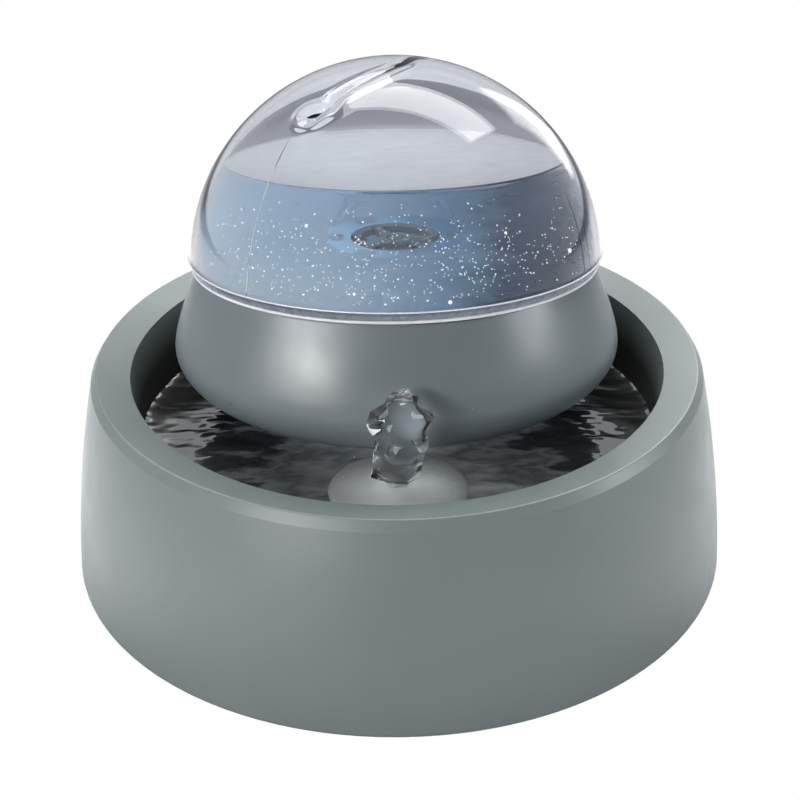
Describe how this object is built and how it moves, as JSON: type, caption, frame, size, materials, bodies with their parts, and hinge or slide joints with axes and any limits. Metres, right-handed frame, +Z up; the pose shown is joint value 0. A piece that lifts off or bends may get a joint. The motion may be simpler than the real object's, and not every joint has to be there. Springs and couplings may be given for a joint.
{
  "type": "pet water fountain",
  "caption": "Round bowl-shaped pet drinking fountain with a clear domed water tank on a central tower and a low bubbling jet in front.",
  "frame": {"origin": "centre of the footprint on the surface that the fountain stands on", "axes": "+Z up; -Y to the front, where the jet is; +X to the right seen from the front"},
  "size_m": [0.2596, 0.2596, 0.1816],
  "materials": {
    "bowl_plastic": "satin mid grey ABS",
    "tower_plastic": "satin mid grey ABS",
    "inner_plastic": "moulded grey",
    "clear_plastic": "clear moulded plastic",
    "white_plastic": "natural moulded plastic",
    "black_plastic": "fine moulded black",
    "head_plastic": "pale grey moulded",
    "soft_rubber": "soft moulded rubber",
    "silicone": "milky silicone",
    "steel": "plated or stainless",
    "brass": "plated contact",
    "ceramic": "polished ceramic",
    "magnet": "sintered ferrite",
    "copper": "enamelled windings",
    "potting_resin": "cast resin",
    "foam": "open-cell foam with carbon",
    "lead_jacket": "smooth PVC"
  },
  "bodies": {
    "bowl": {"bowl_shell": "bowl_plastic", "base_plate": "inner_plastic", "base_screws": "steel", "rubber_foot_rear_right": "soft_rubber", "rubber_foot_rear_left": "soft_rubber", "rubber_foot_front_left": "soft_rubber", "rubber_foot_front_right": "soft_rubber", "jack_body": "black_plastic", "jack_nut": "steel", "jack_pin": "brass", "lead_grommet": "soft_rubber", "pump_lead": "lead_jacket", "pump_housing": "black_plastic", "pump_stator": "copper", "pump_potting": "potting_resin", "pump_volute": "black_plastic", "pump_cover": "black_plastic", "cover_screws": "steel", "lower_bush": "ceramic", "upper_bush": "ceramic", "impeller_shaft": "ceramic", "outlet_tube": "silicone", "fountain_stem": "inner_plastic", "stem_seal": "silicone", "pump_foot_1": "soft_rubber", "pump_foot_2": "soft_rubber", "pump_foot_3": "soft_rubber"},
    "tower": {"tower_shell": "tower_plastic", "reservoir_seat": "inner_plastic", "seat_screws": "steel", "socket_gasket": "silicone"},
    "reservoir": {"reservoir_dome": "clear_plastic", "reservoir_floor": "clear_plastic", "strainer_cage": "clear_plastic", "valve_guide": "white_plastic", "valve_spring": "steel"},
    "cap": {"reservoir_cap": "white_plastic", "cap_gasket": "silicone"},
    "plunger": {"valve_plunger": "white_plastic", "valve_seal": "silicone"},
    "impeller": {"impeller": "white_plastic", "rotor_magnet": "magnet"},
    "dial": {"flow_dial": "head_plastic"},
    "head": {"fountain_head": "head_plastic"},
    "filter": {"filter_frame": "white_plastic", "filter_pad": "foam"}
  },
  "joints": [
    {"name": "tower_lift", "type": "slide", "parent": "bowl", "child": "tower", "axis": [0, 0, 1], "range_m": [0, 0.11]},
    {"name": "reservoir_lift", "type": "slide", "parent": "tower", "child": "reservoir", "axis": [0, 0, 1], "range_m": [0, 0.06]},
    {"name": "cap_twist", "type": "hinge", "parent": "reservoir", "child": "cap", "pos_m": [0, 0.008, 0.097], "axis": [0, 0, 1], "range_deg": [0, 90]},
    {"name": "valve_slide", "type": "slide", "parent": "reservoir", "child": "plunger", "axis": [0, 0, -1], "range_m": [0, 0.003], "deforming": ["valve_spring"]},
    {"name": "impeller_spin", "type": "hinge", "parent": "bowl", "child": "impeller", "pos_m": [-0.0104, 0.01, 0.03], "axis": [0, 0, 1], "continuous": true},
    {"name": "flow_dial_turn", "type": "hinge", "parent": "bowl", "child": "dial", "pos_m": [-0.0104, 0.01, 0.043], "axis": [0, 0, 1], "range_deg": [0, 55]},
    {"name": "fountain_head_lift", "type": "slide", "parent": "bowl", "child": "head", "axis": [0, 0, 1], "range_m": [0, 0.033]},
    {"name": "filter_lift", "type": "slide", "parent": "bowl", "child": "filter", "axis": [0, 0, 1], "range_m": [0, 0.055]}
  ],
  "couplings": [
    {"joint": "valve_slide", "follows": "reservoir_lift", "ratio": 0.0495},
    {"joint": "fountain_head_lift", "follows": "tower_lift", "ratio": 0.3},
    {"joint": "filter_lift", "follows": "tower_lift", "ratio": 0.5}
  ]
}
